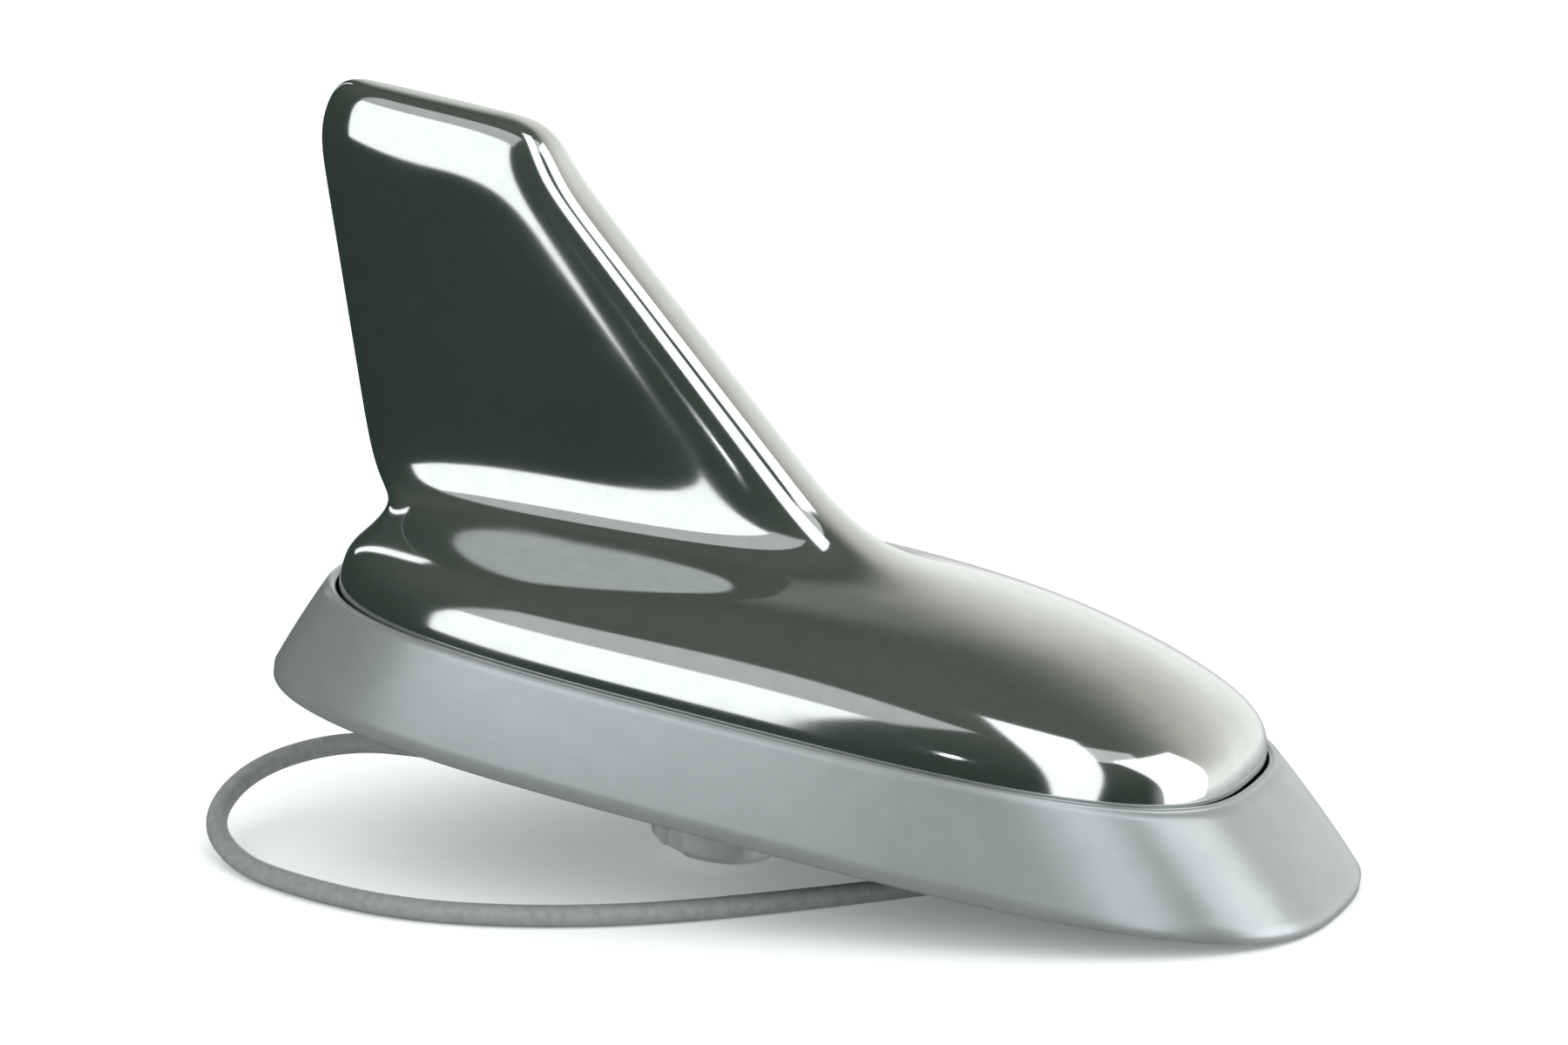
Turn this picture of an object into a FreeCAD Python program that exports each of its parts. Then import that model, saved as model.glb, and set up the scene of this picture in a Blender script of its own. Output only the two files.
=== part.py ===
import FreeCAD, Part
import math

# Roof antenna with a swept fin. Millimetres, +X to the nose, +Z up.
# The origin is on the axis of the mounting spigot, in the plane of the roof.

Vec = FreeCAD.Vector

# Foot of the skirt, seen from above
foot_nose = 83.5
foot_tail = 59.6
foot_half_width = 33.0
plan_taper = 0.09
nose_fullness = 3.1
tail_fullness = 3.5
ring_poles = 36

# Rubber skirt
skirt_height = 13.9
skirt_toe = 1.6
flare_nose = 13.0
flare_tail = 5.8
flare_side = 2.5
flare_bulge = 0.12
skirt_wall = 2.4
skirt_lip = 1.1
flange_width = 8.0
flange_thickness = 2.0
skirt_steps = 5

# Cover: body
cover_gap = 0.2
cover_wall = 2.2
shoulder_height = 22.0
deck_height = 27.6
deck_nose = 52.0
deck_nose_drop = 0.4
deck_side_drop = 1.5
deck_fullness = 2.0
tail_height = 21.0
tail_notch = 2.6
wall_draft_nose = 0.6
wall_draft_tail = 0.3
wall_draft_side = 1.0
wall_crown = 1.4
shoulder_nose = 5.0
shoulder_tail = 1.6
shoulder_side = 5.6
shoulder_dip = 0.4
shoulder_crown = 1.8
shoulder_fullness = 2.5

# Cover: fin and its root
fin_fullness = 3.6
fin_levels = (0.27, 0.56, 0.84, 1.0)
fin_root_nose = 14.0
fin_root_tail = 54.2
fin_root_half = 7.0
fin_top_height = 75.4
fin_top_nose = -32.5
fin_top_tail = 67.8
fin_top_half = 5.7
fin_top_steps = ((0.72, 0.92), (0.36, 1.0), (0.12, 1.0))
fin_top_pull = 2.2
fin_nose_dip = 6.0
fin_tail_dip = 1.0
root_sweep = 6.0
root_rise_nose = 2.5
root_rise_tail = 4.0
root_lead = 5.0
root_lead_dip = 0.6
root_side_dip = 1.6
root_foot_dip = 0.4

# Die-cast base plate with its mounting spigot
plate_thickness = 3.0
plate_gap = 0.4
spigot_radius = 8.75
spigot_length = 13.5
spigot_chamfer = 1.0
keyway_width = 4.0
keyway_depth = 1.6
keyway_turn = 23.0
bolt_hole_radius = 2.5
bolt_hole_depth = 15.0
rib_thickness = 1.2
rib_height = 3.0
rib_gap = 0.3

# Gaskets
seal_thickness = 1.0
pad_inset = 10.0
pad_opening = 12.0
pad_gland_gap = 0.5
pad_head_gap = 1.0
seal_inset = 0.1

# Screws that hold the cover
post_radius = 3.3
post_nose = 44.0
post_tail = 42.0
post_side = 13.0
cover_screw_radius = 1.45
cover_screw_grip = 9.0
screw_end_room = 0.5
screw_hole_gap = 0.25
screw_head_gap = 0.3
screw_sink_gap = 0.1
pilot_radius = 1.15
screw_head_radius = 2.8
screw_head_height = 1.4

# Amplifier board
board_thickness = 1.6
board_nose = 36.5
board_tail = 29.0
board_half_width = 15.0
board_corner = 3.0
board_lift = 4.0
board_post_radius = 2.5
board_post_margin = 4.0
board_screw_radius = 1.0
board_pilot_radius = 0.85
board_screw_grip = 3.0
board_head_radius = 1.9
board_head_height = 1.2

# Shield can
can_nose = 28.0
can_tail = 7.0
can_half_width = 9.0
can_height = 5.0
can_sheet = 0.4
can_corner = 1.0

# Radiator board that stands in the fin, and its spring clips
radiator_thickness = 1.0
radiator_margin = 9.0
radiator_foot_nose = -1.0
radiator_foot_tail = 28.0
clip_sheet = 0.5
clip_width = 4.0
clip_height = 4.0
clip_inset = 3.0

# Loading coil
coil_center_x = -13.0
coil_center_y = -8.0
coil_length = 12.0
coil_flange = 8.0
coil_flange_thickness = 1.0
coil_core_radius = 2.0
coil_wire_radius = 0.45
coil_gap = 0.05

# Coaxial cable, its gland and the tail inside the housing
cable_radius = 1.4
gland_x = -19.0
gland_y = 6.0
gland_radius = 4.0
gland_flange_radius = 5.2
gland_flange_thickness = 1.0
gland_drop = 2.0
gland_tip_radius = 2.6
gland_taper = 0.3
tail_bend = 6.0
tail_gap = 0.05
tail_end = -2.0
board_hole_radius = 4.6
strap_sheet = 0.5
strap_width = 4.0
strap_foot = 2.5
strap_x = -8.0

# Aerial plug on the cable's end
boot_length = 14.0
boot_radius = 4.0
boot_tip_radius = 2.4
shell_length = 17.0
shell_radius = 4.75
shell_wall = 0.8
shell_neck = 4.0
shell_lead = 1.0
shell_lead_in = 0.4
collar_radius = 5.6
collar_length = 3.0
insulator_length = 3.0
pin_radius = 1.55
pin_reach = 3.0

# Heights that follow
plate_bottom = flange_thickness
plate_top = plate_bottom + plate_thickness
cover_edge = plate_top + seal_thickness
board_bottom = plate_top + board_lift
board_top = board_bottom + board_thickness
radiator_foot = board_top + clip_sheet

# The cable rests on a surface that touches the skirt's nose and the spigot's end
rest_slope = spigot_length / (foot_nose - spigot_radius)

# Route of the free cable: x, y and lift over where it would rest
cable_route = [
    (-19.0, 6.0, None),
    (-19.0, 6.0, 11.0),
    (-22.4, 5.9, 8.0),
    (-30.5, 5.6, 7.0),
    (-43.0, 5.2, 7.8),
    (-56.5, 4.0, 8.4),
    (-65.5, -5.0, 6.4),
    (-65.0, -17.5, 2.6),
    (-55.5, -27.0, 0.0),
    (-41.5, -34.0, 0.0),
    (-26.0, -38.0, 0.0),
    (-10.5, -36.2, 0.0),
    (4.5, -30.2, 0.0),
    (18.0, -20.6, 0.0),
    (31.0, -10.0, 0.0),
    (43.0, 1.5, 0.0),
    (50.5, 16.0, 0.0),
    (50.0, 32.0, 0.0),
    (40.0, 45.0, 1.6),
    (25.0, 52.0, 4.2),
    (10.0, 53.0, 4.2),
]


def ring(front, rear, half_width, heights, fullness, taper=0.0):
    """Poles of one closed ring around the Z axis. heights are those at the nose, side and tail."""
    poles = []
    swell = 3.0 / (2.0 + math.cos(2.0 * math.pi / ring_poles))
    center = (front + rear) / 2.0
    reach = (front - rear) / 2.0
    z_nose, z_side, z_tail = heights
    for i in range(ring_poles):
        c = math.cos(2.0 * math.pi * i / ring_poles)
        s = math.sin(2.0 * math.pi * i / ring_poles)
        n = (fullness[0] + fullness[1]) / 2.0 + (fullness[0] - fullness[1]) / 2.0 * c
        r = swell * (abs(c) ** n + abs(s) ** n) ** (-1.0 / n)
        z = z_side + (z_nose - z_tail) / 2.0 * c + ((z_nose + z_tail) / 2.0 - z_side) * c * c
        poles.append(Vec(center + reach * r * c, half_width * r * s * (1.0 - taper * r * c), z))
    return poles


def plan_ring(nose_inset, tail_inset, side_inset, z):
    """A level ring that follows the foot's plan, moved inwards."""
    return ring(foot_nose - nose_inset, tail_inset - foot_tail, foot_half_width - side_inset,
                (z, z, z), (nose_fullness, tail_fullness), plan_taper)


def ring_wire(poles):
    count = len(poles)
    curve = Part.BSplineCurve()
    curve.buildFromPolesMultsKnots(poles, [1] * (count + 1), list(range(count + 1)), True, 3)
    return Part.Wire(curve.toShape())


def ring_solid(rings):
    """A smooth closed skin over the rings, with a flat lid on the first and the last."""
    around = len(rings[0])
    along = len(rings)
    rows = [[one[i] for one in rings] for i in range(around)]
    skin = Part.BSplineSurface()
    inner_knots = along - 4
    skin.buildFromPolesMultsKnots(rows, [1] * (around + 1), [4] + [1] * inner_knots + [4],
                                  list(range(around + 1)), list(range(inner_knots + 2)),
                                  True, False, 3, 3)
    side = skin.toShape()
    ends = [edge for edge in side.Edges if edge.isClosed()]
    lids = [Part.Face(Part.Wire(edge)) for edge in ends]
    solid = Part.Solid(Part.Shell([side] + lids))
    solid.fix(0.001, 0.001, 0.001)
    if solid.Volume < 0:
        solid.reverse()
    return solid


def prism(poles, height):
    return Part.Face(ring_wire(poles)).extrude(Vec(0, 0, height))


def rod(radius, length, x, y, z):
    return Part.makeCylinder(radius, length, Vec(x, y, z))


def rounded_plate(x0, x1, half_width, z, height, corner):
    plate = Part.makeBox(x1 - x0, 2.0 * half_width, height, Vec(x0, -half_width, z))
    upright = [e for e in plate.Edges if abs(e.tangentAt(e.FirstParameter).z) > 0.9]
    return plate.makeFillet(corner, upright)


def revolve(points, base, axis):
    """Turned piece from (radius, distance along the axis) points."""
    profile = Part.makePolygon([Vec(r, 0, d) for r, d in points + points[:1]])
    solid = Part.Face(profile).revolve(Vec(0, 0, 0), Vec(0, 0, 1), 360)
    solid.Placement = FreeCAD.Placement(base, FreeCAD.Rotation(Vec(0, 0, 1), axis))
    return solid


def save(name, shape):
    shape.exportStep("parts/" + name + ".step")


def flare(z):
    """Share of the skirt's flare at a height, slightly bulged."""
    share = max(z - skirt_toe, 0.0) / (skirt_height - skirt_toe)
    return share * (1.0 - flare_bulge * (1.0 - share))


def skirt_ring(z, wall):
    share = flare(z)
    return plan_ring(flare_nose * share + wall, flare_tail * share + wall, flare_side * share + wall, z)


def cover_outline(inset, z):
    edge = skirt_lip + cover_gap + inset
    return plan_ring(flare_nose + edge, flare_tail + edge, flare_side + edge, z)


def make_skirt():
    levels = [0.0, 0.5 * skirt_toe, skirt_toe]
    steps = skirt_steps
    for i in range(1, steps + 1):
        levels.append(skirt_toe + (skirt_height - skirt_toe) * i / steps)
    outer = ring_solid([skirt_ring(z, 0.0) for z in levels])
    inside = [flange_thickness + (skirt_height - flange_thickness) * i / steps for i in range(steps + 1)]
    walls = [skirt_wall + (skirt_lip - skirt_wall) * i / steps for i in range(steps + 1)]
    hollow = ring_solid([skirt_ring(z, wall) for z, wall in zip(inside, walls)])
    window = prism(plan_ring(flange_width, flange_width, flange_width, 0.0), flange_thickness)
    return outer.cut(hollow).cut(window)


def cover_rings(inset):
    """Rings of the cover from its lower edge to the fin's top, moved inwards by inset."""
    edge = skirt_lip + cover_gap + inset
    front = foot_nose - flare_nose - edge
    rear = flare_tail - foot_tail + edge
    half = foot_half_width - flare_side - edge
    soft = (nose_fullness, tail_fullness)
    rise = skirt_height - cover_edge
    deck = deck_height - inset
    tail = tail_height - inset
    shoulder = shoulder_height - inset
    top = fin_top_height - inset
    rings = []
    for share in (0.0, 0.5, 1.0):
        z = cover_edge + rise * share
        rings.append(ring(front, rear, half, (z, z, z), soft, plan_taper))
    # Body: the wall turns over a full shoulder into the deck
    low = (skirt_height + shoulder) / 2.0
    rings.append(ring(front - wall_draft_nose, rear + wall_draft_tail, half - wall_draft_side,
                      (low, low + wall_crown, low), soft, plan_taper))
    rings.append(ring(front - shoulder_nose, rear + shoulder_tail, half - shoulder_side,
                      (shoulder - shoulder_dip, shoulder + shoulder_crown, tail - shoulder_tail),
                      (shoulder_fullness, tail_fullness), plan_taper))
    notch = rear + tail_notch
    middle = (half + fin_root_half) / 2.0
    rings.append(ring(deck_nose, notch, middle, (deck - deck_nose_drop, deck - deck_side_drop, tail),
                      (deck_fullness, tail_fullness), plan_taper))
    # Root: a hollow sweep from the deck into the fin
    root_front = fin_root_nose - inset
    root_rear = inset - fin_root_tail
    root_half = fin_root_half - inset
    root_nose_z = deck + root_rise_nose
    root_tail_z = tail + root_rise_tail
    slim = (fin_fullness, fin_fullness)
    ahead = (deck_nose + root_front) / 2.0
    rings.append(ring(ahead - root_lead, notch, root_half + root_sweep,
                      (root_nose_z - root_lead_dip, deck - root_side_dip, (tail + root_tail_z) / 2.0), slim))
    rings.append(ring(root_front, root_rear, root_half, (root_nose_z, deck - root_foot_dip, root_tail_z),
                      slim))
    # Fin: straight sides between the root and the rounded top
    crown = top - fin_top_half
    top_half = fin_top_half - inset
    for share in fin_levels:
        nose_z = root_nose_z + (top - fin_nose_dip - root_nose_z) * share
        tail_z = root_tail_z + (crown - fin_tail_dip - root_tail_z) * share
        rings.append(ring(root_front + (fin_top_nose - inset - root_front) * share,
                          root_rear + (inset - fin_top_tail - root_rear) * share,
                          root_half + (top_half - root_half) * share,
                          (nose_z, (nose_z + tail_z) / 2.0, tail_z), slim))
    # Rounded top edge, closing on a narrow flat
    for share, lift in fin_top_steps:
        pull = (1.0 - share) * fin_top_half
        level = crown + (top - crown) * lift
        rings.append(ring(fin_top_nose - inset - fin_top_pull * pull, inset - fin_top_tail + pull,
                          top_half * share, (level, level, level), slim))
    return rings


def post_places():
    return [(x, y) for x in (post_nose, -post_tail) for y in (post_side, -post_side)]


def make_cover():
    outer = ring_solid(cover_rings(0.0))
    hollow_rings = cover_rings(cover_wall)
    core = ring_solid(hollow_rings)
    cover = outer.cut(core)
    for x, y in post_places():
        post = rod(post_radius, deck_height, x, y, plate_top).common(outer)
        foot = rod(post_radius, seal_thickness, x, y, plate_top)
        pilot = rod(pilot_radius, cover_screw_grip + screw_end_room, x, y, plate_top)
        cover = cover.fuse(post).fuse(foot).cut(pilot)
    return cover.removeSplitter()


def plate_inset():
    share = flare(plate_top)
    edge = skirt_wall + plate_gap
    return [one * share + edge for one in (flare_nose, flare_tail, flare_side)]


def make_spigot():
    reach = spigot_length + plate_bottom
    spigot = rod(spigot_radius, reach + plate_thickness, 0, 0, -spigot_length)
    rim = [e for e in spigot.Edges if e.BoundBox.ZMax < spigot_chamfer - spigot_length]
    spigot = spigot.makeChamfer(spigot_chamfer, rim)
    for side in (1, -1):
        turn = side * (90.0 + keyway_turn)
        key = Part.makeBox(2.0 * keyway_depth, keyway_width, reach,
                           Vec(spigot_radius - keyway_depth, -keyway_width / 2.0, -spigot_length))
        key.rotate(Vec(0, 0, 0), Vec(0, 0, 1), turn)
        spigot = spigot.cut(key)
    return spigot


def board_post_places():
    x0 = -board_tail + board_post_margin
    x1 = board_nose - board_post_margin
    side = board_half_width - board_post_margin
    return [(x, y) for x in (x0, x1) for y in (side, -side)]


def make_base_plate():
    plate = prism(plan_ring(*plate_inset(), plate_bottom), plate_thickness)
    outer = prism(cover_outline(cover_wall + rib_gap, plate_top), rib_height)
    inner = prism(cover_outline(cover_wall + rib_gap + rib_thickness, plate_top), rib_height)
    plate = plate.fuse(outer.cut(inner)).fuse(make_spigot())
    for x, y in board_post_places():
        plate = plate.fuse(rod(board_post_radius, board_lift, x, y, plate_top))
        depth = board_screw_grip + screw_end_room
        plate = plate.cut(rod(board_pilot_radius, depth, x, y, board_bottom - depth))
    for x, y in post_places():
        plate = plate.cut(rod(cover_screw_radius + screw_hole_gap, plate_thickness, x, y, plate_bottom))
        plate = plate.cut(rod(screw_head_radius + screw_head_gap, screw_head_height + screw_sink_gap,
                            x, y, plate_bottom))
    plate = plate.cut(rod(gland_radius, plate_thickness, gland_x, gland_y, plate_bottom))
    plate = plate.cut(rod(bolt_hole_radius, bolt_hole_depth, 0, 0, -spigot_length))
    return plate.removeSplitter()


def make_cover_seal():
    outer = prism(cover_outline(seal_inset, plate_top), seal_thickness)
    return outer.cut(prism(cover_outline(cover_wall, plate_top), seal_thickness))


def make_foam_pad():
    pad = prism(plan_ring(pad_inset, pad_inset, pad_inset, 0.0), flange_thickness)
    pad = pad.cut(rod(pad_opening, flange_thickness, 0, 0, 0))
    pad = pad.cut(rod(gland_flange_radius + pad_gland_gap, flange_thickness, gland_x, gland_y, 0))
    for x, y in post_places():
        pad = pad.cut(rod(screw_head_radius + pad_head_gap, flange_thickness, x, y, 0))
    return pad


def make_screw(x, y, seat, head_radius, head_height, radius, grip, up):
    """Pan-head screw. seat is the face under its head, up is +1 or -1 along Z."""
    points = [(0, -head_height), (0.7 * head_radius, -head_height), (head_radius, -0.5 * head_height),
              (head_radius, 0), (radius, 0), (radius, grip - radius), (0.2 * radius, grip), (0, grip)]
    screw = revolve(points, Vec(x, y, seat), Vec(0, 0, up))
    slot = 0.35 * head_radius
    depth = 0.5 * head_height
    z = seat - up * head_height
    z0 = min(z, z + up * depth)
    for dx, dy in ((slot, 0.5 * slot), (0.5 * slot, slot)):
        screw = screw.cut(Part.makeBox(2 * dx, 2 * dy, depth, Vec(x - dx, y - dy, z0)))
    return screw


def make_cover_screws():
    seat = plate_bottom + screw_head_height
    grip = plate_thickness - screw_head_height + cover_screw_grip
    return Part.makeCompound([make_screw(x, y, seat, screw_head_radius, screw_head_height,
                                         pilot_radius, grip, 1) for x, y in post_places()])


def make_board_screws():
    grip = board_thickness + board_screw_grip
    return Part.makeCompound([make_screw(x, y, board_top, board_head_radius, board_head_height,
                                         board_pilot_radius, grip, -1)
                              for x, y in board_post_places()])


def make_amplifier_board():
    board = rounded_plate(-board_tail, board_nose, board_half_width, board_bottom, board_thickness,
                          board_corner)
    for x, y in board_post_places():
        board = board.cut(rod(board_screw_radius, board_thickness, x, y, board_bottom))
    return board.cut(rod(board_hole_radius, board_thickness, gland_x, gland_y, board_bottom))


def make_shield_can():
    outer = rounded_plate(can_tail, can_nose, can_half_width, board_top, can_height, can_corner)
    inner = rounded_plate(can_tail + can_sheet, can_nose - can_sheet, can_half_width - can_sheet,
                          board_top, can_height - can_sheet, can_corner - can_sheet)
    return outer.cut(inner)


def fin_edge(z, root, top):
    """Distance along X of one of the fin's edges at a height, root and top given as X."""
    share = (z - deck_height) / (fin_top_height - deck_height)
    return root + (top - root) * share


def make_radiator_board():
    neck = deck_height + cover_wall
    crown = fin_top_height - radiator_margin
    half = radiator_thickness / 2.0
    front_neck = fin_edge(neck, fin_root_nose, fin_top_nose) - 1.6 * radiator_margin
    front_crown = fin_edge(crown, fin_root_nose, fin_top_nose) - 1.2 * radiator_margin
    rear_neck = fin_edge(neck, -fin_root_tail, -fin_top_tail) + radiator_margin
    rear_crown = fin_edge(crown, -fin_root_tail, -fin_top_tail) + radiator_margin
    outline = [(radiator_foot_nose, radiator_foot), (front_neck, neck), (front_crown, crown),
               (rear_crown, crown), (rear_neck, neck), (-radiator_foot_tail, neck - radiator_margin),
               (-radiator_foot_tail, radiator_foot)]
    points = [Vec(x, -half, z) for x, z in outline]
    return Part.Face(Part.makePolygon(points + points[:1])).extrude(Vec(0, 2.0 * half, 0))


def make_radiator_clips():
    inner = radiator_thickness / 2.0
    outer = inner + clip_sheet
    foot = board_top + clip_sheet
    head = board_top + clip_height
    section = [(-outer, board_top), (outer, board_top), (outer, head), (inner, head), (inner, foot),
               (-inner, foot), (-inner, head), (-outer, head)]
    clips = []
    for x in (radiator_foot_nose - clip_inset - clip_width, clip_inset - radiator_foot_tail):
        points = [Vec(x, y, z) for y, z in section]
        clips.append(Part.Face(Part.makePolygon(points + points[:1])).extrude(Vec(clip_width, 0, 0)))
    return Part.makeCompound(clips)


def coil_axis():
    return board_top + coil_flange / 2.0


def make_coil_bobbin():
    x0 = coil_center_x - coil_length / 2.0
    side = coil_flange / 2.0
    core = Part.makeCylinder(coil_core_radius, coil_length, Vec(x0, coil_center_y, coil_axis()), Vec(1, 0, 0))
    for x in (x0, x0 + coil_length - coil_flange_thickness):
        core = core.fuse(Part.makeBox(coil_flange_thickness, coil_flange, coil_flange,
                                      Vec(x, coil_center_y - side, board_top)))
    return core.removeSplitter()


def make_coil_winding():
    span = coil_length - 2.0 * (coil_flange_thickness + coil_gap)
    turns = int(span / (2.0 * coil_wire_radius))
    pitch = span / turns
    inner = coil_core_radius + coil_gap
    outer = inner + 2.0 * coil_wire_radius
    points = [(inner, 0)]
    for i in range(turns):
        points += [(outer - coil_wire_radius, i * pitch), (outer, (i + 0.3) * pitch),
                   (outer, (i + 0.7) * pitch)]
    points += [(outer - coil_wire_radius, span), (inner, span)]
    start = coil_center_x - span / 2.0
    return revolve(points, Vec(start, coil_center_y, coil_axis()), Vec(1, 0, 0))


def make_cable_gland():
    collar = plate_top
    points = [(cable_radius, -gland_drop), (gland_tip_radius, -gland_drop), (gland_radius - gland_taper, 0),
              (gland_flange_radius, 0), (gland_flange_radius, plate_bottom), (gland_radius, plate_bottom),
              (gland_radius, collar), (gland_flange_radius, collar),
              (gland_flange_radius, collar + gland_flange_thickness),
              (cable_radius, collar + gland_flange_thickness)]
    return revolve(points, Vec(gland_x, gland_y, 0), Vec(0, 0, 1))


def sweep_tube(points, bends):
    """Tube of the cable's section along straight runs joined by tangent arcs."""
    edges = []
    here = points[0]
    for i in range(1, len(points) - 1):
        back = (points[i - 1] - points[i]).normalize()
        ahead = (points[i + 1] - points[i]).normalize()
        half_turn = (math.pi - back.getAngle(ahead)) / 2.0
        trim = bends[i - 1] * math.tan(half_turn)
        start = points[i] + back * trim
        end = points[i] + ahead * trim
        inward = (back + ahead).normalize()
        middle = points[i] + inward * (bends[i - 1] / math.cos(half_turn) - bends[i - 1])
        edges.append(Part.LineSegment(here, start).toShape())
        edges.append(Part.Arc(start, middle, end).toShape())
        here = end
    edges.append(Part.LineSegment(here, points[-1]).toShape())
    path = Part.Wire(edges)
    first = (points[1] - points[0]).normalize()
    section = Part.Wire(Part.makeCircle(cable_radius, points[0], first))
    return path.makePipeShell([section], True, False), path.Length


def make_cable_tail():
    """The cable inside the housing: up through the gland and forward along the board."""
    level = board_top + cable_radius + tail_gap
    points = [Vec(gland_x, gland_y, -gland_drop), Vec(gland_x, gland_y, level), Vec(tail_end, gland_y, level)]
    return sweep_tube(points, [tail_bend])[0]


def route_points():
    points = []
    for x, y, lift in cable_route:
        rest = rest_slope * (x - foot_nose) + cable_radius * math.sqrt(1.0 + rest_slope ** 2)
        points.append(Vec(x, y, -gland_drop if lift is None else rest + lift))
    return points


def make_cable():
    points = route_points()
    bends = []
    for i in range(1, len(points) - 1):
        back = points[i - 1] - points[i]
        ahead = points[i + 1] - points[i]
        half_turn = (math.pi - back.getAngle(ahead)) / 2.0
        bends.append(0.45 * min(back.Length, ahead.Length) / math.tan(half_turn))
    tube, length = sweep_tube(points, bends)
    print("cable bends", [round(b, 1) for b in bends])
    print("cable length", round(length, 1), "volume share",
          round(tube.Volume / (math.pi * cable_radius ** 2 * length), 4))
    return tube


def make_cable_strap():
    """Saddle that ties the cable's tail to the board."""
    inner = cable_radius + tail_gap
    outer = inner + strap_sheet
    level = board_top + cable_radius + tail_gap
    reach = outer + strap_foot
    x0 = strap_x - strap_width / 2.0

    def at(y, z):
        return Vec(x0, gland_y + y, z)

    foot = board_top + strap_sheet
    edges = [Part.LineSegment(at(-reach, board_top), at(-inner, board_top)),
             Part.LineSegment(at(-inner, board_top), at(-inner, level)),
             Part.Arc(at(-inner, level), at(0, level + inner), at(inner, level)),
             Part.LineSegment(at(inner, level), at(inner, board_top)),
             Part.LineSegment(at(inner, board_top), at(reach, board_top)),
             Part.LineSegment(at(reach, board_top), at(reach, foot)),
             Part.LineSegment(at(reach, foot), at(outer, foot)),
             Part.LineSegment(at(outer, foot), at(outer, level)),
             Part.Arc(at(outer, level), at(0, level + outer), at(-outer, level)),
             Part.LineSegment(at(-outer, level), at(-outer, foot)),
             Part.LineSegment(at(-outer, foot), at(-reach, foot)),
             Part.LineSegment(at(-reach, foot), at(-reach, board_top))]
    section = Part.Face(Part.Wire([e.toShape() for e in edges]))
    return section.extrude(Vec(strap_width, 0, 0))


def plug_frame():
    """The cable's end and the direction in which the plug lies on from there."""
    points = route_points()
    return points[-1], (points[-1] - points[-2]).normalize()


def make_plug_boot():
    base, axis = plug_frame()
    points = [(0, 0), (boot_tip_radius, 0), (boot_radius, 0.8 * boot_length), (boot_radius, boot_length),
              (0, boot_length)]
    return revolve(points, base, axis)


def make_plug_shell():
    base, axis = plug_frame()
    bore = shell_radius - shell_wall
    mouth = shell_length
    points = [(0, 0), (collar_radius, 0), (collar_radius, collar_length), (shell_radius, collar_length),
              (shell_radius, mouth - shell_lead), (shell_radius - shell_lead_in, mouth), (bore, mouth),
              (bore, shell_neck), (0, shell_neck)]
    return revolve(points, base + axis * boot_length, axis)


def make_plug_insulator():
    base, axis = plug_frame()
    points = [(pin_radius, 0), (shell_radius - shell_wall, 0), (shell_radius - shell_wall, insulator_length),
              (pin_radius, insulator_length)]
    return revolve(points, base + axis * (boot_length + shell_neck), axis)


def make_plug_pin():
    base, axis = plug_frame()
    length = shell_length - shell_neck + pin_reach
    points = [(0, 0), (pin_radius, 0), (pin_radius, length - pin_radius), (0.5 * pin_radius, length),
              (0, length)]
    return revolve(points, base + axis * (boot_length + shell_neck), axis)


save("fin_cover", make_cover())
save("base_skirt", make_skirt())
save("base_plate", make_base_plate())
save("cover_seal", make_cover_seal())
save("foam_pad", make_foam_pad())
save("cover_screws", make_cover_screws())
save("amplifier_board", make_amplifier_board())
save("board_screws", make_board_screws())
save("shield_can", make_shield_can())
save("radiator_board", make_radiator_board())
save("radiator_clips", make_radiator_clips())
save("coil_bobbin", make_coil_bobbin())
save("coil_winding", make_coil_winding())
save("cable_gland", make_cable_gland())
save("cable_tail", make_cable_tail())
save("cable_strap", make_cable_strap())
save("coax_cable", make_cable())
save("plug_boot", make_plug_boot())
save("plug_shell", make_plug_shell())
save("plug_insulator", make_plug_insulator())
save("plug_pin", make_plug_pin())
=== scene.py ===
import bpy
import math
import numpy as np
from mathutils import Matrix, Vector


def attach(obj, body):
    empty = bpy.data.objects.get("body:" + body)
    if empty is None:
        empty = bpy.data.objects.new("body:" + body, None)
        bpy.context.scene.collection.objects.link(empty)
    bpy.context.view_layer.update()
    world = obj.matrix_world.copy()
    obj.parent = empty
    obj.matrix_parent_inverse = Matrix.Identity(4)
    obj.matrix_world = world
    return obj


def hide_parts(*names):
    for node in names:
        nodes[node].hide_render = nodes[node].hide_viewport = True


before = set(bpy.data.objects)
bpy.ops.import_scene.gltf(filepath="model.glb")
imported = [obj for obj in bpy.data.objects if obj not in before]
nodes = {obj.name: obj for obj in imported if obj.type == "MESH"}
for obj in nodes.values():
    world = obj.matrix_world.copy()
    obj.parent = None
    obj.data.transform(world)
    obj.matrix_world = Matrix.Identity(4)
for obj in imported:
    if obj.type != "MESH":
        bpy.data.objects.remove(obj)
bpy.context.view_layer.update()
scene = bpy.context.scene

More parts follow.
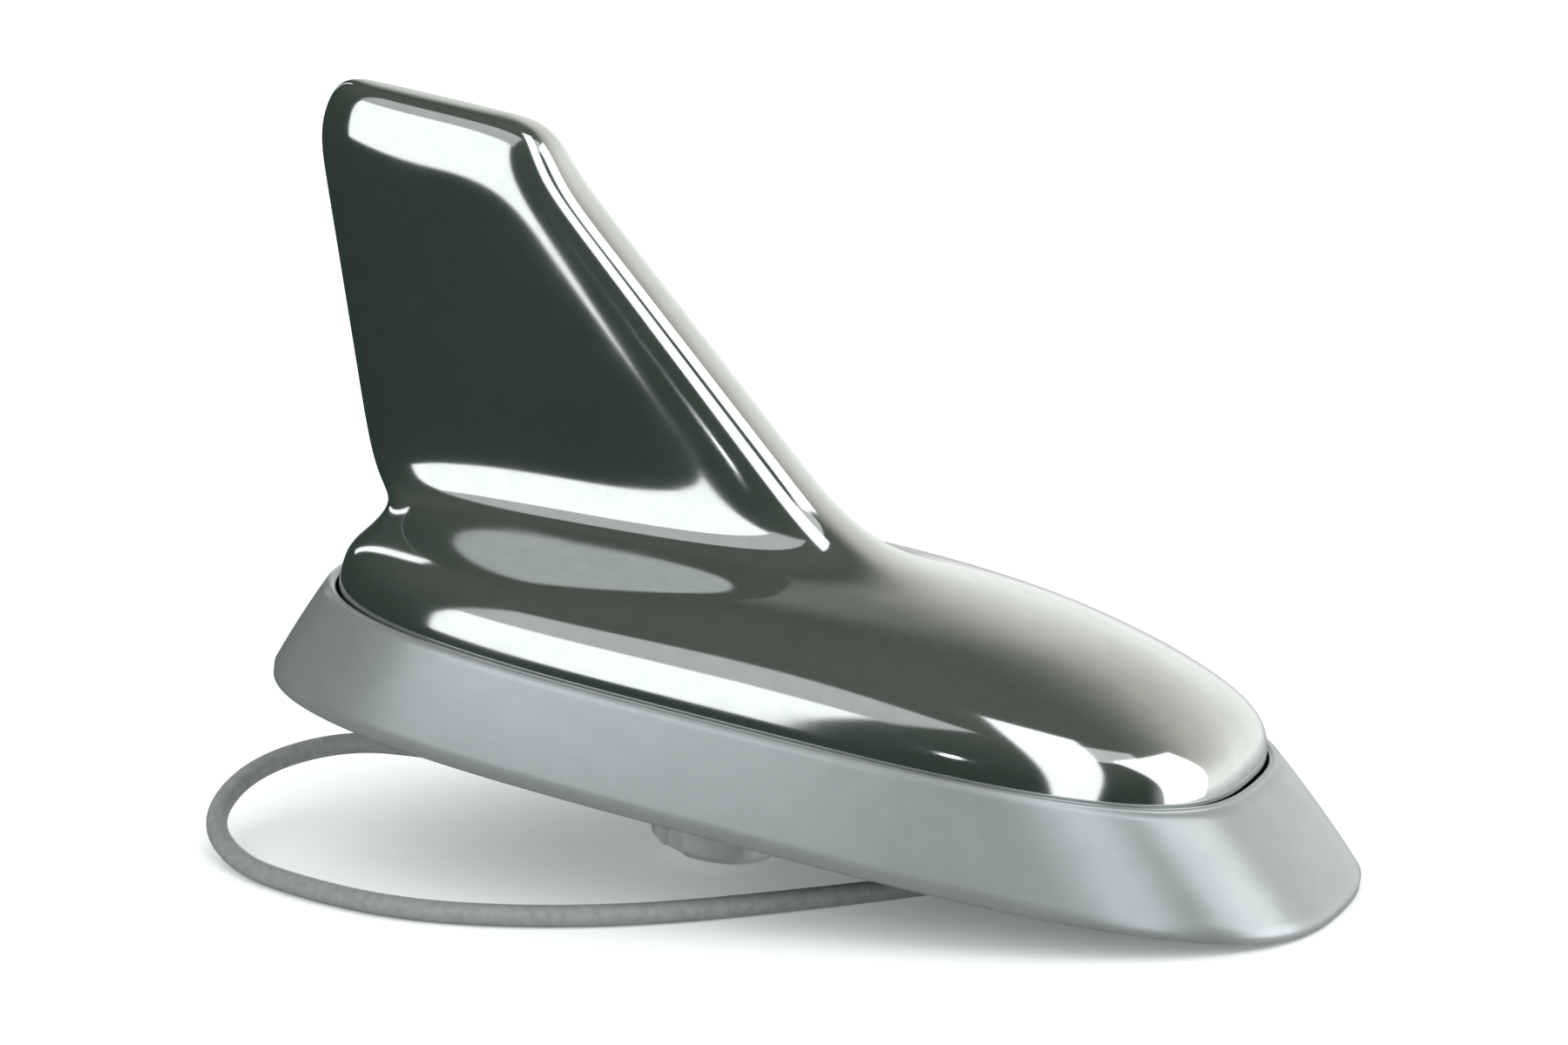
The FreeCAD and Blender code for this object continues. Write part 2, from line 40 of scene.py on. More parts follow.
# Driving sizes of the part, in metres
mm = 0.001
foot_nose = 83.5 * mm
foot_tail = 59.6 * mm
foot_half_width = 33.0 * mm
plan_taper = 0.09
nose_fullness = 3.1
tail_fullness = 3.5
soft = (nose_fullness, tail_fullness)
ring_poles = 36
skirt_height = 13.9 * mm
skirt_toe = 1.6 * mm
skirt_wall = 2.4 * mm
skirt_lip = 1.1 * mm
flare_nose = 13.0 * mm
flare_tail = 5.8 * mm
flare_side = 2.5 * mm
flare_bulge = 0.12
flange_width = 8.0 * mm
flange_thickness = 2.0 * mm
cover_gap = 0.2 * mm
cover_wall = 2.2 * mm
cover_edge = 6.0 * mm
shoulder_height = 22.0 * mm
deck_height = 27.6 * mm
deck_nose = 52.0 * mm
deck_nose_drop = 0.4 * mm
deck_side_drop = 1.5 * mm
deck_fullness = 2.0
tail_height = 21.0 * mm
tail_notch = 2.6 * mm
wall_draft_nose = 0.6 * mm
wall_draft_tail = 0.3 * mm
wall_draft_side = 1.0 * mm
wall_crown = 1.4 * mm
shoulder_nose = 5.0 * mm
shoulder_tail = 1.6 * mm
shoulder_side = 5.6 * mm
shoulder_dip = 0.4 * mm
shoulder_crown = 1.8 * mm
shoulder_fullness = 2.5
fin_fullness = 3.6
slim = (fin_fullness, fin_fullness)
fin_levels = (0.27, 0.56, 0.84, 1.0)
fin_root_nose = 14.0 * mm
fin_root_tail = 54.2 * mm
fin_root_half = 7.0 * mm
fin_top_height = 75.4 * mm
fin_top_nose = -32.5 * mm
fin_top_tail = 67.8 * mm
fin_top_half = 5.7 * mm
fin_top_steps = ((0.72, 0.92), (0.36, 1.0), (0.12, 1.0))
fin_top_pull = 2.2
fin_nose_dip = 6.0 * mm
fin_tail_dip = 1.0 * mm
root_sweep = 6.0 * mm
root_rise_nose = 2.5 * mm
root_rise_tail = 4.0 * mm
root_lead = 5.0 * mm
root_lead_dip = 0.6 * mm
root_side_dip = 1.6 * mm
root_foot_dip = 0.4 * mm
spigot_radius = 8.75 * mm
spigot_length = 13.5 * mm
bolt_hole_radius = 2.5 * mm
cable_radius = 1.4 * mm
gland_drop = 2.0 * mm

# Camera at the photograph's angle
eye = Vector((0.2409, -0.61432, 0.23967))
target = Vector((0.00315, 0.0, 0.03125))
roll = math.radians(7.884)
back = (eye - target).normalized()
level = Vector((0, 0, 1)).cross(back).normalized()
above = back.cross(level)
right = math.cos(roll) * level + math.sin(roll) * above
up = back.cross(right)
camera = bpy.data.objects.new("camera", bpy.data.cameras.new("camera"))
camera.data.lens = 124.49
camera.data.sensor_width = 36.0
camera.data.clip_start = 0.01
camera.matrix_world = Matrix((
    (right.x, up.x, back.x, eye.x),
    (right.y, up.y, back.y, eye.y),
    (right.z, up.z, back.z, eye.z),
    (0, 0, 0, 1)))
scene.collection.objects.link(camera)
scene.camera = camera


# Materials
noise_low = 0.3
noise_high = 0.7
cloud_share = 0.15
bump_distance = 0.0004


def material(name, dark, light, rough, metal=0.0, grain=900.0, bump=0.0, bump_grain=None, coat=0.0):
    """Two shades mixed by a fine noise, a cloudier noise for roughness, and a bump."""
    made = bpy.data.materials.new(name)
    made.use_nodes = True
    tree = made.node_tree
    shader = tree.nodes["Principled BSDF"]
    shader.inputs["Metallic"].default_value = metal
    shader.inputs["Coat Weight"].default_value = coat
    place = tree.nodes.new("ShaderNodeTexCoord")

    def noise(size, detail):
        field = tree.nodes.new("ShaderNodeTexNoise")
        field.inputs["Scale"].default_value = size
        field.inputs["Detail"].default_value = detail
        tree.links.new(place.outputs["Object"], field.inputs["Vector"])
        return field.outputs["Fac"]

    ramp = tree.nodes.new("ShaderNodeValToRGB")
    ramp.color_ramp.elements[0].position = noise_low
    ramp.color_ramp.elements[0].color = (*dark, 1)
    ramp.color_ramp.elements[1].position = noise_high
    ramp.color_ramp.elements[1].color = (*light, 1)
    tree.links.new(noise(grain, detail=4.0), ramp.inputs["Fac"])
    tree.links.new(ramp.outputs["Color"], shader.inputs["Base Color"])
    cloud = tree.nodes.new("ShaderNodeMapRange")
    cloud.inputs["From Min"].default_value = noise_low
    cloud.inputs["From Max"].default_value = noise_high
    cloud.inputs["To Min"].default_value = rough[0]
    cloud.inputs["To Max"].default_value = rough[1]
    tree.links.new(noise(grain * cloud_share, detail=3.0), cloud.inputs["Value"])
    tree.links.new(cloud.outputs["Result"], shader.inputs["Roughness"])
    if bump:
        relief = tree.nodes.new("ShaderNodeBump")
        relief.inputs["Strength"].default_value = bump
        relief.inputs["Distance"].default_value = bump_distance
        tree.links.new(noise(bump_grain or grain, detail=5.0), relief.inputs["Height"])
        tree.links.new(relief.outputs["Normal"], shader.inputs["Normal"])
    return made


chrome = material("chrome_plate", (0.80, 0.83, 0.815), (0.86, 0.885, 0.87), (0.06, 0.10),
                  metal=1.0, grain=350.0, bump=0.006, bump_grain=60.0)
skirt_grey = material("skirt_satin", (0.445, 0.477, 0.48), (0.475, 0.507, 0.51), (0.285, 0.315),
                      metal=0.7, grain=300.0)
die_cast = material("die_cast_zinc", (0.64, 0.65, 0.65), (0.80, 0.81, 0.81), (0.34, 0.46),
                    metal=0.45, grain=500.0, bump=0.08)
rubber = material("black_rubber", (0.014, 0.014, 0.014), (0.03, 0.03, 0.03), (0.55, 0.75),
                  metal=0.0, grain=1800.0, bump=0.2)
foam = material("closed_foam", (0.022, 0.023, 0.024), (0.05, 0.052, 0.054), (0.8, 0.95),
                metal=0.0, grain=1400.0, bump=0.9)
zinc = material("zinc_screw", (0.50, 0.50, 0.48), (0.68, 0.67, 0.62), (0.22, 0.38),
                metal=1.0, grain=1200.0, bump=0.1)
board = material("board_green", (0.012, 0.07, 0.03), (0.02, 0.10, 0.045), (0.3, 0.42),
                 metal=0.0, grain=700.0, bump=0.05, coat=0.3)
tin = material("tin_plate", (0.60, 0.61, 0.60), (0.74, 0.74, 0.72), (0.22, 0.36),
               metal=1.0, grain=500.0, bump=0.05)
brass = material("brass", (0.55, 0.40, 0.16), (0.70, 0.53, 0.24), (0.2, 0.34),
                 metal=1.0, grain=800.0, bump=0.05)
copper = material("enamel_copper", (0.50, 0.20, 0.09), (0.66, 0.30, 0.15), (0.2, 0.32),
                  metal=1.0, grain=900.0, bump=0.08)
nylon = material("natural_nylon", (0.62, 0.59, 0.50), (0.72, 0.69, 0.60), (0.4, 0.5),
                 metal=0.0, grain=500.0, bump=0.04)
sheath = material("cable_sheath", (0.20, 0.21, 0.205), (0.26, 0.27, 0.265), (0.34, 0.46),
                  metal=0.0, grain=900.0, bump=0.05)
nickel = material("plug_nickel", (0.58, 0.57, 0.54), (0.72, 0.71, 0.68), (0.16, 0.28),
                  metal=1.0, grain=900.0, bump=0.04)

finishes = {
    "base_plate": die_cast, "cover_seal": rubber, "foam_pad": foam, "cover_screws": zinc,
    "amplifier_board": board, "board_screws": zinc, "shield_can": tin, "radiator_board": board,
    "radiator_clips": brass, "coil_bobbin": nylon, "coil_winding": copper, "cable_gland": rubber,
    "cable_tail": sheath, "cable_strap": tin, "plug_boot": rubber, "plug_shell": nickel,
    "plug_insulator": nylon, "plug_pin": brass, "fin_cover": chrome, "base_skirt": skirt_grey,
    "coax_cable": sheath,
}
for name, finish in finishes.items():
    for holder in nodes[name].material_slots:
        holder.material = finish

# The free cable, on the route of its solid: x, y and lift over where it would rest, in millimetres
rest_slope = spigot_length / (foot_nose - spigot_radius)
route = [
    (-19.0, 6.0, None), (-19.0, 6.0, 11.0), (-22.4, 5.9, 8.0), (-30.5, 5.6, 7.0), (-43.0, 5.2, 7.8),
    (-56.5, 4.0, 8.4), (-65.5, -5.0, 6.4), (-65.0, -17.5, 2.6), (-55.5, -27.0, 0.0), (-41.5, -34.0, 0.0),
    (-26.0, -38.0, 0.0), (-10.5, -36.2, 0.0), (4.5, -30.2, 0.0), (18.0, -20.6, 0.0), (31.0, -10.0, 0.0),
    (43.0, 1.5, 0.0), (50.5, 16.0, 0.0), (50.0, 32.0, 0.0), (40.0, 45.0, 1.6), (25.0, 52.0, 4.2),
    (10.0, 53.0, 4.2),
]
lead = bpy.data.curves.new("coax_lead", "CURVE")
lead.dimensions = "3D"
line = lead.splines.new("NURBS")
line.points.add(len(route) - 1)
for point, (x, y, lift) in zip(line.points, route):
    rest = rest_slope * (x * mm - foot_nose) + cable_radius * math.sqrt(1.0 + rest_slope ** 2)
    point.co = (x * mm, y * mm, -gland_drop if lift is None else rest + lift * mm, 1.0)
line.order_u = 3
line.use_endpoint_u = True
line.resolution_u = 16
lead.bevel_depth = cable_radius
lead.bevel_resolution = 8
lead.use_fill_caps = True
lead.materials.append(sheath)
cord = bpy.data.objects.new("coax_lead", lead)
scene.collection.objects.link(cord)
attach(cord, "root")
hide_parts("coax_cable")


# Rings of the moulded skins
def ring(front, rear, half_width, heights, fullness, taper=0.0):
    """Poles of one closed ring: a superellipse in plan, with heights at nose, sides and tail."""
    angle = 2.0 * math.pi * np.arange(ring_poles) / ring_poles
    c = np.cos(angle)
    s = np.sin(angle)
    swell = 3.0 / (2.0 + math.cos(2.0 * math.pi / ring_poles))
    z_nose, z_side, z_tail = heights
    n = (fullness[0] + fullness[1]) / 2.0 + (fullness[0] - fullness[1]) / 2.0 * c
    r = swell * (np.abs(c) ** n + np.abs(s) ** n) ** (-1.0 / n)
    z = z_side + (z_nose - z_tail) / 2.0 * c + ((z_nose + z_tail) / 2.0 - z_side) * c * c
    x = (front + rear) / 2.0 + (front - rear) / 2.0 * r * c
    return np.stack([x, half_width * r * s * (1.0 - taper * r * c), z], 1)


def around(rings, steps):
    """Points on each ring's closed cubic curve."""
    t = np.arange(ring_poles * steps) / steps
    first = np.floor(t).astype(int)
    f = (t - first)[None, :, None]
    weights = ((1 - f) ** 3, 3 * f ** 3 - 6 * f ** 2 + 4, 1 + 3 * f + 3 * f ** 2 - 3 * f ** 3, f ** 3)
    return sum(w * rings[:, (first + k - 1) % ring_poles] for k, w in enumerate(weights)) / 6.0


def along(rings, steps):
    """Points on the clamped cubic curves that run from the first ring to the last."""
    count = len(rings)
    knots = np.concatenate([[0] * 3, np.arange(count - 2), [count - 3] * 3]).astype(float)
    t = np.minimum(np.linspace(0, count - 3, (count - 3) * steps + 1), count - 3 - 1e-9)[:, None]
    basis = ((t >= knots[:-1]) & (t < knots[1:])).astype(float)
    for d in range(1, 4):
        low = knots[:-d - 1]
        high = knots[d + 1:]
        rise = np.maximum(knots[d:-1] - low, 1e-9)
        fall = np.maximum(high - knots[1:-d], 1e-9)
        basis = (t - low) / rise * basis[:, :-1] + (high - t) / fall * basis[:, 1:]
    return np.einsum("vm,muk->vuk", basis, rings)


def cover_rings(inset):
    """Rings of the cover from its lower edge to the fin's top, moved inwards by inset."""
    edge = skirt_lip + cover_gap + inset
    front = foot_nose - flare_nose - edge
    rear = flare_tail - foot_tail + edge
    half = foot_half_width - flare_side - edge
    deck = deck_height - inset
    tail = tail_height - inset
    shoulder = shoulder_height - inset
    top = fin_top_height - inset
    rings = []
    for share in (0.0, 0.5, 1.0):
        z = cover_edge + (skirt_height - cover_edge) * share
        rings.append(ring(front, rear, half, (z, z, z), soft, plan_taper))
    # Body: the wall turns over a full shoulder into the deck
    low = (skirt_height + shoulder) / 2.0
    rings.append(ring(front - wall_draft_nose, rear + wall_draft_tail, half - wall_draft_side,
                      (low, low + wall_crown, low), soft, plan_taper))
    rings.append(ring(front - shoulder_nose, rear + shoulder_tail, half - shoulder_side,
                      (shoulder - shoulder_dip, shoulder + shoulder_crown, tail - shoulder_tail),
                      (shoulder_fullness, tail_fullness), plan_taper))
    notch = rear + tail_notch
    rings.append(ring(deck_nose, notch, (half + fin_root_half) / 2.0,
                      (deck - deck_nose_drop, deck - deck_side_drop, tail),
                      (deck_fullness, tail_fullness), plan_taper))
    # Root: a hollow sweep from the deck into the fin
    root_front = fin_root_nose - inset
    root_rear = inset - fin_root_tail
    root_half = fin_root_half - inset
    nose_foot = deck + root_rise_nose
    tail_foot = tail + root_rise_tail
    rings.append(ring((deck_nose + root_front) / 2.0 - root_lead, notch, root_half + root_sweep,
                      (nose_foot - root_lead_dip, deck - root_side_dip, (tail + tail_foot) / 2.0), slim))
    rings.append(ring(root_front, root_rear, root_half, (nose_foot, deck - root_foot_dip, tail_foot), slim))
    # Fin: straight sides between the root and the rounded top
    crown = top - fin_top_half
    top_half = fin_top_half - inset
    for share in fin_levels:
        nose_z = nose_foot + (top - fin_nose_dip - nose_foot) * share
        tail_z = tail_foot + (crown - fin_tail_dip - tail_foot) * share
        rings.append(ring(root_front + (fin_top_nose - inset - root_front) * share,
                          root_rear + (inset - fin_top_tail - root_rear) * share,
                          root_half + (top_half - root_half) * share,
                          (nose_z, (nose_z + tail_z) / 2.0, tail_z), slim))
    # Rounded top edge, closing on a narrow flat
    for share, lift in fin_top_steps:
        pull = (1.0 - share) * fin_top_half
        z = crown + (top - crown) * lift
        rings.append(ring(fin_top_nose - inset - fin_top_pull * pull, inset - fin_top_tail + pull,
                          top_half * share, (z, z, z), slim))
    return np.array(rings)


def skin_faces(rows, columns, start, closed=False):
    """Quads between neighbouring rings, and from the last ring to the first where closed."""
    faces = []
    for v in range(rows if closed else rows - 1):
        a = start + v * columns
        b = start + (v + 1) % rows * columns
        for u in range(columns):
            w = (u + 1) % columns
            faces.append((a + u, a + w, b + w, b + u))
    return faces


def lid_faces(columns, start):
    """Closes a ring that is symmetric about the X axis with a strip of quads."""
    half = columns // 2
    faces = [(start, start + 1, start + columns - 1)]
    for i in range(1, half - 1):
        faces.append((start + i, start + i + 1, start + columns - i - 1, start + columns - i))
    faces.append((start + half - 1, start + half, start + half + 1))
    return faces


def add_mesh(name, points, faces, finish):
    made = bpy.data.meshes.new(name)
    made.from_pydata([tuple(p) for p in points], [], faces)
    made.materials.append(finish)
    made.update()
    for face in made.polygons:
        face.use_smooth = True
    piece = bpy.data.objects.new(name, made)
    scene.collection.objects.link(piece)
    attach(piece, "root")
    return piece


# Chrome cover: outer skin, inner skin and the edge between them
steps_around = 8
columns = ring_poles * steps_around
outer_steps = 10
inner_steps = 3
outer = along(around(cover_rings(0.0), steps_around), outer_steps)
inner = along(around(cover_rings(cover_wall), steps_around), inner_steps)
cover_points = np.concatenate([outer[::-1], inner]).reshape(-1, 3)
cover_rows = len(outer) + len(inner)
cover_faces = [f[::-1] for f in skin_faces(cover_rows, columns, 0)]
cover_faces += lid_faces(columns, 0)
cover_faces += [f[::-1] for f in lid_faces(columns, (cover_rows - 1) * columns)]
cover = add_mesh("chrome_cover", cover_points, cover_faces, chrome)
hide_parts("fin_cover")


# Skirt with softened lip and toe
def skirt_ring(z, wall, flare_z):
    """Ring at height z, set in by wall from the outer face as it stands at height flare_z."""
    share = max(flare_z - skirt_toe, 0.0) / (skirt_height - skirt_toe)
    share *= 1.0 - flare_bulge * (1.0 - share)
    return ring(foot_nose - flare_nose * share - wall, flare_tail * share + wall - foot_tail,
                foot_half_width - flare_side * share - wall, (z, z, z), soft, plan_taper)


edge_radius = 0.45 * mm
toe_steps = 6
wall_steps = 16
lip_steps = 12
back_steps = 6
profile = [(0.0, flange_width, 0.0), (0.0, 0.5 * flange_width, 0.0)]
for i in range(toe_steps + 1):
    turn = 0.5 * math.pi * i / toe_steps
    profile.append((edge_radius * (1.0 - math.cos(turn)), edge_radius * (1.0 - math.sin(turn)), 0.0))
for i in range(wall_steps + 1):
    z = skirt_toe + (skirt_height - edge_radius - skirt_toe) * i / wall_steps
    profile.append((z, 0.0, z))
for i in range(1, lip_steps + 1):
    turn = math.pi * i / lip_steps
    profile.append((skirt_height - edge_radius * (1.0 - math.sin(turn)),
                    skirt_lip / 2.0 * (1.0 - math.cos(turn)), skirt_height))
for i in range(1, back_steps + 1):
    z = skirt_height - edge_radius + (flange_thickness - skirt_height + edge_radius) * i / back_steps
    share = (z - flange_thickness) / (skirt_height - flange_thickness)
    profile.append((z, skirt_wall + (skirt_lip - skirt_wall) * share, z))
profile.append((flange_thickness, flange_width, 0.0))
skirt_rings = np.array([skirt_ring(*one) for one in profile])
skirt_points = around(skirt_rings, steps_around).reshape(-1, 3)
skirt = add_mesh("satin_skirt", skirt_points, skin_faces(len(profile), columns, 0, True), skirt_grey)
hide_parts("base_skirt")


# The plug: a ribbed boot and a knurled shell, turned about the cable's last run
sharp_angle = math.radians(40.0)


def turned(name, profile, start, finish, knurl=None):
    """Turned piece from (radius, distance) points that begin and end on the axis.

    knurl is (from, to, count, depth).
    """
    turns = 160
    end = Vector(line.points[-1].co[:3])
    axis = (end - Vector(line.points[-2].co[:3])).normalized()
    side = axis.cross(Vector((0, 0, 1))).normalized()
    other = axis.cross(side)
    base = end + axis * start
    points = [base + axis * profile[0][1]]
    for radius, distance in profile[1:-1]:
        for i in range(turns):
            angle = 2.0 * math.pi * i / turns
            r = radius
            if knurl and knurl[0] <= distance <= knurl[1]:
                r -= knurl[3] * abs(knurl[2] * i / turns % 1.0 * 2.0 - 1.0)
            points.append(base + axis * distance + (side * math.cos(angle) + other * math.sin(angle)) * r)
    points.append(base + axis * profile[-1][1])
    rows = len(profile) - 2
    faces = [f[::-1] for f in skin_faces(rows, turns, 1)]
    last = 1 + (rows - 1) * turns
    for i in range(turns):
        j = (i + 1) % turns
        faces.append((0, 1 + i, 1 + j))
        faces.append((len(points) - 1, last + j, last + i))
    piece = add_mesh(name, points, faces, finish)
    piece.data.set_sharp_from_angle(angle=sharp_angle)
    return piece


boot_length = 14.0 * mm
boot_neck_radius = 2.4 * mm
boot_radius = 4.0 * mm
boot_taper = 0.8 * boot_length
neck_round = 0.2 * mm
boot_round = 0.3 * mm
rib_pitch = 1.4 * mm
rib_count = 6
rib_groove = 0.4 * mm
rib_edge = 0.05 * mm
groove_start = 0.15 * mm
groove_end = 0.55 * mm
groove_out = 0.7 * mm
boot_profile = [(0.0, 0.0), (boot_neck_radius - neck_round, 0.0), (boot_neck_radius, neck_round)]
for i in range(1, rib_count + 1):
    at = i * rib_pitch
    radius = boot_neck_radius + (boot_radius - boot_neck_radius) * at / boot_taper
    boot_profile += [(radius - rib_edge, at), (radius - rib_groove, at + groove_start),
                     (radius - rib_groove, at + groove_end), (radius, at + groove_out)]
boot_profile += [(boot_radius, boot_taper), (boot_radius, boot_length - boot_round),
                 (boot_radius - boot_round, boot_length), (0.0, boot_length)]
boot = turned("ribbed_boot", boot_profile, 0.0, rubber)
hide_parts("plug_boot")

collar_radius = 5.6 * mm
collar_length = 3.0 * mm
collar_round = 0.4 * mm
knurl_margin = 0.05 * mm
knurl_count = 40
knurl_depth = 0.3 * mm
barrel_radius = 4.75 * mm
shell_length = 17.0 * mm
mouth_chamfer = 1.0 * mm
mouth_round = 0.4 * mm
band_start = 6.0 * mm
band_end = 7.0 * mm
band_depth = 0.3 * mm
band_slope = 0.2 * mm
bore_radius = 3.95 * mm
bore_floor = 4.0 * mm
knurl_start = collar_round + knurl_margin
knurl_end = collar_length - collar_round - knurl_margin
shell_profile = [
    (0.0, 0.0), (collar_radius - collar_round, 0.0), (collar_radius, collar_round),
    (collar_radius, knurl_start), (collar_radius, knurl_end), (collar_radius, collar_length - collar_round),
    (collar_radius - collar_round, collar_length), (barrel_radius, collar_length),
    (barrel_radius, band_start), (barrel_radius - band_depth, band_start + band_slope),
    (barrel_radius - band_depth, band_end - band_slope), (barrel_radius, band_end),
    (barrel_radius, shell_length - mouth_chamfer), (barrel_radius - mouth_round, shell_length),
    (bore_radius, shell_length), (bore_radius, bore_floor), (0.0, bore_floor),
]
shell = turned("knurled_shell", shell_profile, boot_length, nickel,
               (knurl_start, knurl_end, knurl_count, knurl_depth))
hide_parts("plug_shell")

# Thread in the clamp bolt's hole
thread_pitch = 0.8 * mm
thread_depth = 0.3 * mm
thread_flank = 0.35 * thread_pitch
thread_start = 0.6 * mm - spigot_length
thread_turns = 17
per_turn = 32
section = ((bolt_hole_radius, -thread_flank), (bolt_hole_radius, thread_flank),
           (bolt_hole_radius - thread_depth, 0.0))
thread_points = []
thread_faces = []
for i in range(per_turn * thread_turns + 1):
    angle = 2.0 * math.pi * i / per_turn
    z = thread_start + thread_pitch * i / per_turn
    for radius, rise in section:
        thread_points.append((radius * math.cos(angle), radius * math.sin(angle), z + rise))
    if i:
        a = 3 * (i - 1)
        thread_faces += [(a + k, a + 3 + k, a + 3 + (k + 1) % 3, a + (k + 1) % 3) for k in range(3)]
last = len(thread_points) - 1
thread_faces += [(0, 1, 2), (last, last - 1, last - 2)]
thread = add_mesh("bolt_thread", thread_points, thread_faces, die_cast)
thread.data.set_sharp_from_angle(angle=sharp_angle)

# Pale floor under the resting antenna, seen from above only
floor_reach = 3.0
floor_drop = 0.05 * mm
corners = [(x * floor_reach, y * floor_reach) for x, y in ((-1, -1), (1, -1), (1, 1), (-1, 1))]
floor_mesh = bpy.data.meshes.new("floor")
floor_mesh.from_pydata([(x, y, rest_slope * (x - foot_nose) - floor_drop) for x, y in corners],
                       [], [(0, 1, 2, 3)])
floor = bpy.data.objects.new("floor", floor_mesh)
scene.collection.objects.link(floor)
floor.visible_glossy = False
# The floor glows faintly in pale green: painted fill light that lightens the floor's shadow under the antenna
# and lights the antenna's underside.
floor_fill_glow = 0.14
paper = bpy.data.materials.new("floor_paper")
paper.use_nodes = True
tree = paper.node_tree
shader = tree.nodes["Principled BSDF"]
shader.inputs["Base Color"].default_value = (0.9, 0.905, 0.9, 1)
shader.inputs["Roughness"].default_value = 0.9
shader.inputs["Specular IOR Level"].default_value = 0.0
shader.inputs["Emission Color"].default_value = (0.9, 1.0, 0.97, 1)
shader.inputs["Emission Strength"].default_value = floor_fill_glow
facing = tree.nodes.new("ShaderNodeNewGeometry")
clear = tree.nodes.new("ShaderNodeBsdfTransparent")
mix = tree.nodes.new("ShaderNodeMixShader")
tree.links.new(facing.outputs["Backfacing"], mix.inputs["Fac"])
tree.links.new(shader.outputs["BSDF"], mix.inputs[1])
tree.links.new(clear.outputs["BSDF"], mix.inputs[2])
tree.links.new(mix.outputs["Shader"], tree.nodes["Material Output"].inputs["Surface"])
floor_mesh.materials.append(paper)

# Studio: a white room for the floor, and a darker one with soft boxes for what the chrome mirrors
world = bpy.data.worlds.new("studio")
scene.world = world
world.use_nodes = True
tree = world.node_tree
sky = tree.nodes["Background"]
place = tree.nodes.new("ShaderNodeTexCoord")
split = tree.nodes.new("ShaderNodeSeparateXYZ")
tree.links.new(place.outputs["Generated"], split.inputs["Vector"])


def spread(value, low, high):
    """0 below low, 1 above high, and smooth between."""
    step = tree.nodes.new("ShaderNodeMapRange")
    step.interpolation_type = "SMOOTHSTEP"
    step.inputs["From Min"].default_value = low
    step.inputs["From Max"].default_value = high
    tree.links.new(value, step.inputs["Value"])
    return step.outputs["Result"]


def height_ramp(stops):
    """Colours by the height of the direction: (sine of the elevation, colour)."""
    ramp = tree.nodes.new("ShaderNodeValToRGB")
    bar = ramp.color_ramp.elements
    while len(bar) < len(stops):
        bar.new(0.5)
    for stop, (z, colour) in zip(bar, stops):
        stop.position = (z + 1.0) / 2.0
        stop.color = (*colour, 1)
    tree.links.new(height.outputs["Result"], ramp.inputs["Fac"])
    return ramp.outputs["Color"]


def blend(factor, first, second):
    """Mix of two colours, each given as a value or as a socket. Sockets 6, 7 and output 2 are the colours."""
    mixer = tree.nodes.new("ShaderNodeMix")
    mixer.data_type = "RGBA"
    tree.links.new(factor, mixer.inputs["Factor"])
    for value, socket in ((first, mixer.inputs[6]), (second, mixer.inputs[7])):
        if isinstance(value, tuple):
            socket.default_value = (*value, 1)
        else:
            tree.links.new(value, socket)
    return mixer.outputs[2]


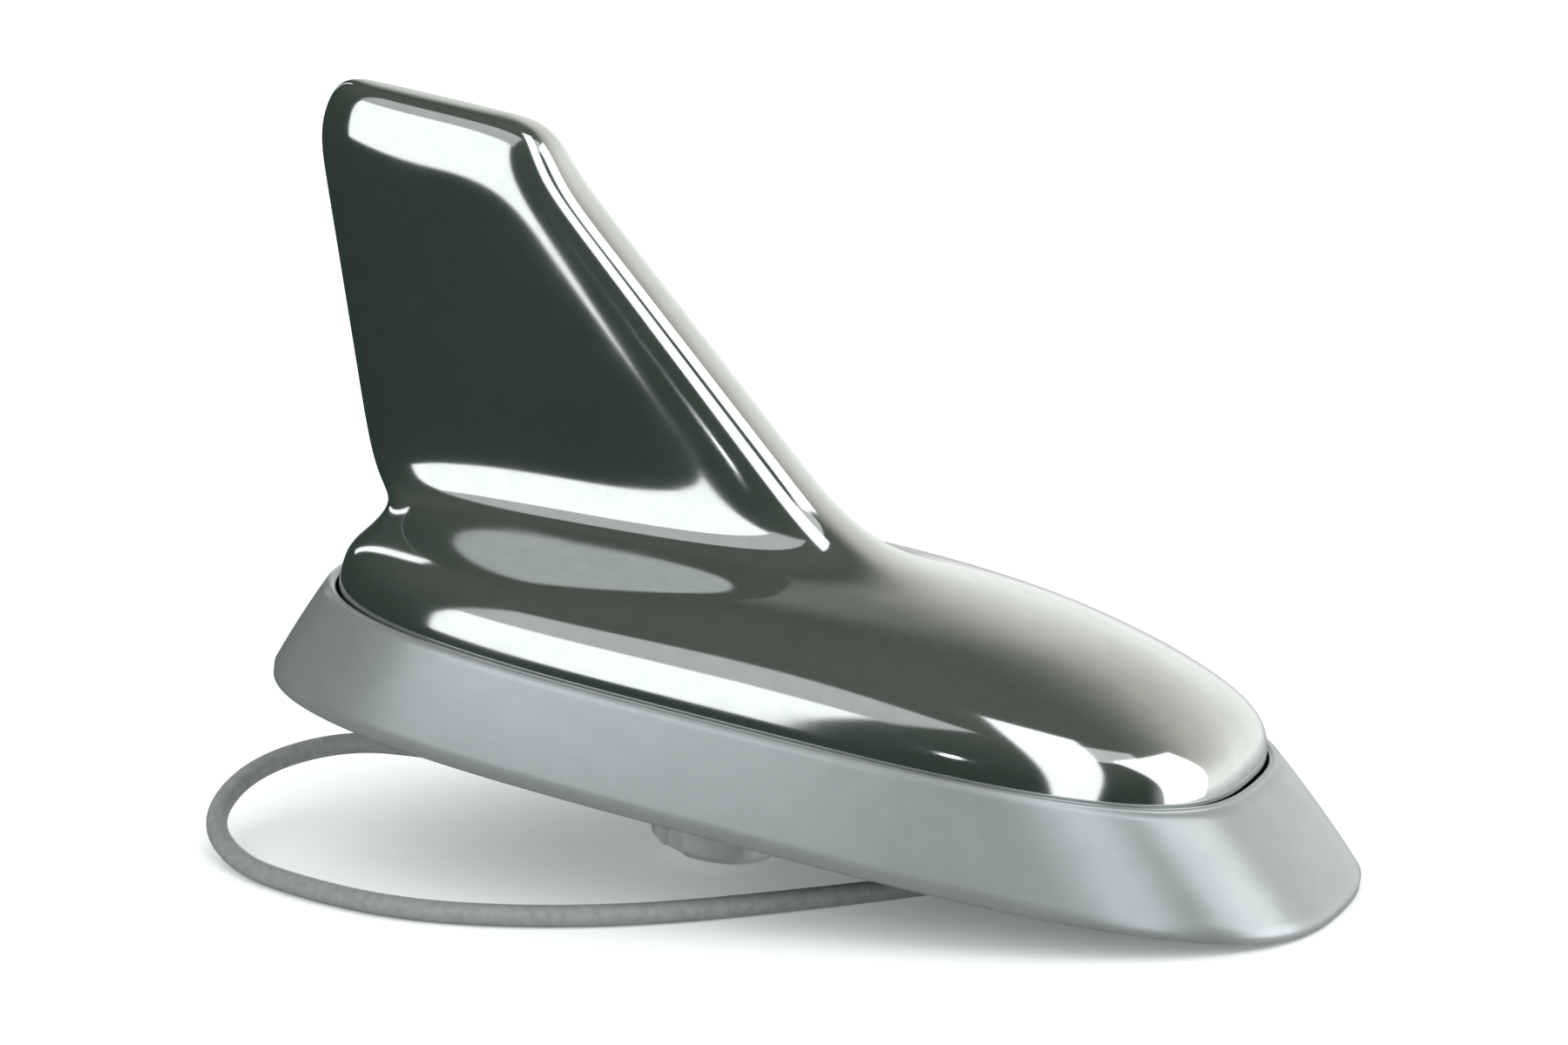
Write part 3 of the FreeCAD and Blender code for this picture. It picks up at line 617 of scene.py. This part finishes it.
height = tree.nodes.new("ShaderNodeMapRange")
height.inputs["From Min"].default_value = -1.0
tree.links.new(split.outputs["Z"], height.inputs["Value"])
far_side = height_ramp([(-1.0, (0.30, 0.31, 0.30)), (-0.3, (0.34, 0.35, 0.34)), (-0.03, (0.97, 0.98, 0.96)),
                        (0.22, (0.90, 0.915, 0.88)), (0.5, (0.65, 0.655, 0.61)), (0.75, (0.43, 0.43, 0.39)),
                        (0.92, (0.185, 0.195, 0.17)), (1.0, (0.11, 0.122, 0.105))])
near_side = height_ramp([(-1.0, (0.025, 0.035, 0.029)), (-0.3, (0.031, 0.045, 0.037)),
                         (0.15, (0.038, 0.053, 0.043)), (0.6, (0.057, 0.071, 0.06)),
                         (1.0, (0.09, 0.101, 0.087))])
far_direction = (0.8, 1.0, 0.0)
far_start = 0.15
far_full = 0.75
slant = tree.nodes.new("ShaderNodeVectorMath")
slant.operation = "DOT_PRODUCT"
slant.inputs[1].default_value = far_direction
tree.links.new(place.outputs["Generated"], slant.inputs[0])
mirrored = blend(spread(slant.outputs["Value"], far_start, far_full), near_side, far_side)
path = tree.nodes.new("ShaderNodeLightPath")
room = blend(path.outputs["Is Glossy Ray"], (1.0, 1.02, 1.02), mirrored)
room = blend(path.outputs["Is Camera Ray"], room, (1.0, 1.0, 1.0))
tree.links.new(room, sky.inputs["Color"])

# Soft boxes: direction seen from the part (degrees from the near side towards the nose, and up),
# then width, height and radiance
boxes = {
    "window_near": (-28.6, 16.2, 0.91, 1.02, 0.9),
    "window_high": (-28.0, 47.0, 0.95, 0.66, 0.32),
    "strip_nose": (28.0, 34.0, 0.5, 3.0, 0.95),
    "window_nose": (90.0, 26.0, 1.25, 2.2, 0.9),
    "strip_tail": (-150.0, 0.0, 0.5, 0.7, 0.8),
    "window_ahead": (50.0, 62.0, 0.8, 0.5, 0.38),
    "strip_rear": (-120.0, 26.0, 0.12, 1.0, 0.9),
    "bulb": (2.0, 9.0, 0.05, 0.05, 8.0),
}
box_distance = 1.5
box_aim = Vector((0, 0, 0.03))
box_tint = (0.96, 0.985, 1.0)
watts_per_radiance = 4.0
for name, (turn, lift, width, tall, radiance) in boxes.items():
    a = math.radians(turn)
    e = math.radians(lift)
    toward = Vector((math.sin(a) * math.cos(e), -math.cos(a) * math.cos(e), math.sin(e)))
    lamp = bpy.data.lights.new(name, "AREA")
    lamp.shape = "RECTANGLE"
    lamp.size = width
    lamp.size_y = tall
    lamp.energy = watts_per_radiance * width * tall * radiance
    lamp.color = box_tint
    box = bpy.data.objects.new(name, lamp)
    box.location = box_aim + box_distance * toward
    box.rotation_euler = toward.to_track_quat("Z", "Y").to_euler()
    box.visible_camera = False
    scene.collection.objects.link(box)

scene.view_settings.view_transform = "Standard"
scene.view_settings.look = "None"
